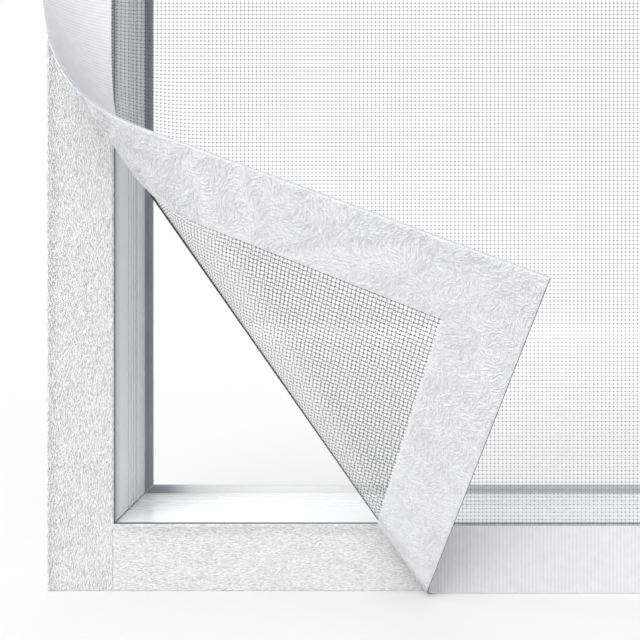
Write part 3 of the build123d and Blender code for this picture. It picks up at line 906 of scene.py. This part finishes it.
class INSECT_SCREEN_OT_hook_tapes(bpy.types.Operator):
    """Makes the woven ground of the four hook tapes that are stuck to the frame"""

    bl_idname = "insect_screen.hook_tapes"
    bl_label = "Hook tapes"

    def execute(self, context):
        s = sizes()
        # Painted shade on the hook tape's inner sides.
        edge = cut_edge("acrylic_adhesive_edge", "adhesive")
        thread, run, relief = 0.2 * MM, 1.3 * MM, 0.2 * MM
        upright_ground = knitted_ground("woven_hook_ground_upright", "hook", (thread, thread, run), relief)
        level_ground = knitted_ground("woven_hook_ground_level", "hook", (run, thread, thread), relief)
        for side in SIDES:
            node = "hook_tape_" + side
            ground = upright_ground if side in UPRIGHT else level_ground
            low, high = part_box(node)
            front = FRAME_FRONT - s.hook_ground
            tape = flat_strip(node + "_cloth", (low.x, low.z), (high.x, high.z), front, (1, 1))
            apply_modifier(tape, "SOLIDIFY", thickness=s.hook_ground, offset=-1)
            paint_sides(tape, ground, edge)
            self.woven_outside(tape)
            beds = self.beds(side, low, high, front)
            for bed in beds:
                bed.data.materials.append(ground)
            select_only(tape, *beds)
            bpy.ops.object.join()
            note_flat(tape)
            finish_piece(tape, "hook_tape", node)
        return {"FINISHED"}

    def woven_outside(self, tape):
        """Carries the woven ground round the sides that lie at the screen's outer edge."""
        for face in tape.data.polygons:
            off = [abs(face.center[k] - end[k]) for k in (0, 2) for end in (cad_low, cad_high)]
            if min(off) < 0.1 * MM:
                face.material_index = 0

    def beds(self, side, low, high, front):
        """The matted bed between the hooks, and their full height where the cloth is pressed on them."""
        s = sizes()
        margin = 0.5 * MM
        first = (low.x + margin, low.z + margin)
        last = (high.x - margin, high.z - margin)
        held = {
            "left": (first[0], cad_low.z + s.left_start),
            "bottom": (cad_low.x + s.bottom_start, first[1]),
        }.get(side, first)
        beds = []
        for start, rise in ((first, s.hook_bed), (held, front - HOOK_FRONT)):
            bed = flat_strip("hook_bed_" + side, start, last, front - rise, (1, 1))
            apply_modifier(bed, "SOLIDIFY", thickness=rise, offset=-1)
            beds.append(bed)
        return beds


class INSECT_SCREEN_OT_hook_field(bpy.types.Operator):
    """Sets the hooks on the two lengths of hook tape that the peeled corner bares"""

    bl_idname = "insect_screen.hook_field"
    bl_label = "Hooks"

    def execute(self, context):
        s = sizes()
        fibre = hook_nylon()
        margin, lifted, clear, past_curl = 0.6 * MM, 0.15 * MM, 0.15 * MM, 4 * MM
        foot = FRAME_FRONT - s.hook_ground - lifted
        strand = model_strand(s.hook_span, foot - HOOK_FRONT - clear, s.fibre, 2)
        fields = {
            "left": ((margin, margin), (TAPE_WIDTH - margin, s.left_start), math.pi / 2),
            "bottom": ((TAPE_WIDTH + margin, margin), (s.bottom_start, TAPE_WIDTH - margin), 0.0),
        }
        for seed, (side, (low, high, heading)) in enumerate(fields.items(), start=31):
            random = np.random.default_rng(seed)
            flat = jittered(low, high, s.hook_spacing, random)
            flat = flat[peeled(flat, past_curl)]
            count = len(flat)
            headings = heading + 0.1 * wander(flat, 6 * MM, random) + random.normal(0, 0.12, count)
            scales = varied(count, random, (0.7, 1.4), (0.8, 1.3), (0.6, 1.0))
            tones = 0.7 + 0.06 * wander(flat, 4 * MM, random) + random.normal(0, 0.35, count)
            # Painted shade: hooks darker towards the left tape's outer edge and the bottom tape's upper
            # edge.
            edge = flat[:, 0] if side == "left" else TAPE_WIDTH - flat[:, 1]
            hook_edge_shade = 1.2 * np.clip(1 - edge / s.hook_shade_band, 0, 1)
            hooks = scatter(
                "hooks_" + side,
                strand,
                on_tape(flat, foot),
                up=(0, -1, 0),
                headings=headings,
                scales=scales,
                tones=np.clip(tones - hook_edge_shade, 0, 1),
                inset=0,
            )
            hooks.data.materials.append(fibre)
            finish_piece(hooks, "hook_tape", smooth=80)
        return {"FINISHED"}


class INSECT_SCREEN_OT_frame_finish(bpy.types.Operator):
    """Finishes the frame bars in white PVC and the gasket in grey rubber"""

    bl_idname = "insect_screen.frame_finish"
    bl_label = "Frame and gasket"

    def execute(self, context):
        bars = {upright: extruded_pvc(upright) for upright in (True, False)}
        rubber = gasket_rubber()
        for side in SIDES:
            for name, material in (("frame_", bars[side in UPRIGHT]), ("gasket_", rubber)):
                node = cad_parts[name + side]
                node.data.materials.clear()
                node.data.materials.append(material)
        return {"FINISHED"}


# Stage and panel


class INSECT_SCREEN_OT_stage(bpy.types.Operator):
    """Sets the floor, the soft studio light and the camera"""

    bl_idname = "insect_screen.stage"
    bl_label = "Stage"

    def execute(self, context):
        self.floor()
        self.world(context.scene)
        self.lamp("key", place=(-1.41, -2.56, 2.31), size=2.56, power=45, spread=110)
        self.lamp("top", place=(0.19, -0.8, 2.95), size=2.24, power=19)
        self.lamp("window", place=(-0.45, 2.24, 2.47), size=2.24, power=14)
        self.camera(context.scene)
        return {"FINISHED"}

    def seen_directly(self, tree):
        """1 for rays that show the surroundings, straight on, in a reflection or through glass."""
        path = add_node(tree, "ShaderNodeLightPath", output=None)
        seen = path["Is Camera Ray"]
        for name in ("Is Glossy Ray", "Is Transmission Ray"):
            seen = add_node(tree, "ShaderNodeMath", {0: seen, 1: path[name]}, operation="MAXIMUM")
        return seen

    def floor(self):
        """A wide pale floor that looks white where no shadow falls on it."""
        bpy.ops.object.select_all(action="DESELECT")
        bpy.ops.mesh.primitive_plane_add(size=40, location=(0, 0, cad_low.z))
        floor = bpy.context.object
        floor.name = "studio_floor"
        material, tree, shader = new_material(
            "matt_floor_paint",
            {
                "Base Color": paint("floor"),
                "Roughness": 0.95,
                "Specular IOR Level": 0.0,
                "Emission Color": (1, 1, 1, 1),
            },
        )
        place = add_node(tree, "ShaderNodeTexCoord", output="Object")
        lit_middle, lit, unlit = (-0.3, -0.4, 0), 0.6, 5.2
        least, most = 0.385, 0.785
        away = add_node(
            tree, "ShaderNodeVectorMath", {0: place, 1: lit_middle}, "Value", operation="DISTANCE"
        )
        reach = {"Value": away, "From Min": lit, "From Max": unlit, "To Min": least, "To Max": most}
        glow = add_node(tree, "ShaderNodeMapRange", reach)
        lift = add_node(tree, "ShaderNodeMath", {0: self.seen_directly(tree), 1: glow}, operation="MULTIPLY")
        tree.links.new(lift, shader.inputs["Emission Strength"])
        floor.data.materials.append(material)

    def world(self, scene):
        """White surroundings that give a soft even fill."""
        world = bpy.data.worlds.new("white_studio")
        world.use_nodes = True
        tree = world.node_tree
        background = tree.nodes["Background"]
        background.inputs["Color"].default_value = (1, 1, 1, 1)
        fill, white = 0.66, 1
        reach = {"Value": self.seen_directly(tree), "To Min": fill, "To Max": white}
        tree.links.new(add_node(tree, "ShaderNodeMapRange", reach), background.inputs["Strength"])
        scene.world = world

    def lamp(self, name, place, size, power, spread=180):
        """A square soft box that faces the lower part of the screen; a grid in front narrows its spread."""
        lamp = bpy.data.lights.new(name, "AREA")
        lamp.size = size
        lamp.energy = power
        lamp.spread = math.radians(spread)
        obj = bpy.data.objects.new(name, lamp)
        obj.location = place
        target = Vector((-0.05, 0, 0.15))
        obj.rotation_euler = (target - Vector(place)).to_track_quat("-Z", "Y").to_euler()
        bpy.context.scene.collection.objects.link(obj)

    def camera(self, scene):
        """Square-on view of the peeled corner from close by."""
        lens = bpy.data.cameras.new("camera")
        lens.sensor_width = SENSOR_WIDTH
        lens.lens = SENSOR_WIDTH * CAMERA_DISTANCE / VIEW_WIDTH
        lens.clip_start = 10 * MM
        camera = bpy.data.objects.new("camera", lens)
        camera.location = (VIEW_MIDDLE[0], HOOK_FRONT - CAMERA_DISTANCE, VIEW_MIDDLE[1])
        camera.rotation_euler = (math.pi / 2, 0, 0)
        scene.collection.objects.link(camera)
        scene.camera = camera
        scene.view_settings.view_transform = "Standard"


class INSECT_SCREEN_PT_panel(bpy.types.Panel):
    """Lists the steps that dress the screen"""

    bl_label = "Insect screen"
    bl_idname = "INSECT_SCREEN_PT_panel"
    bl_space_type = "VIEW_3D"
    bl_region_type = "UI"
    bl_category = "Insect screen"

    def draw(self, context):
        for operator in OPERATORS:
            self.layout.operator(operator.bl_idname)


OPERATORS = (
    INSECT_SCREEN_OT_mesh_cloth,
    INSECT_SCREEN_OT_cover_tapes,
    INSECT_SCREEN_OT_loop_tapes,
    INSECT_SCREEN_OT_loop_pile,
    INSECT_SCREEN_OT_hook_tapes,
    INSECT_SCREEN_OT_hook_field,
    INSECT_SCREEN_OT_frame_finish,
    INSECT_SCREEN_OT_stage,
)
CLASSES = (ScreenSizes, ScreenColours) + OPERATORS + (INSECT_SCREEN_PT_panel,)


def register():
    for item in CLASSES:
        bpy.utils.register_class(item)
    bpy.types.Scene.insect_screen_sizes = bpy.props.PointerProperty(type=ScreenSizes)
    bpy.types.Scene.insect_screen_colours = bpy.props.PointerProperty(type=ScreenColours)


def unregister():
    del bpy.types.Scene.insect_screen_colours
    del bpy.types.Scene.insect_screen_sizes
    for item in reversed(CLASSES):
        bpy.utils.unregister_class(item)


def declare_cloth():
    """Gathers the names of the border tapes and their pile that lie on the mesh cloth; nothing is done with
    them.
    """
    border = [name + side for name in ("ribbed_tape_", "loop_tape_ground_") for side in SIDES]
    border += ["loop_pile_left", "loop_pile_bottom"]


def main():
    register()
    for operator in OPERATORS:
        group, name = operator.bl_idname.split(".")
        getattr(getattr(bpy.ops, group), name)()
    declare_cloth()


if __name__ == "__main__":
    main()
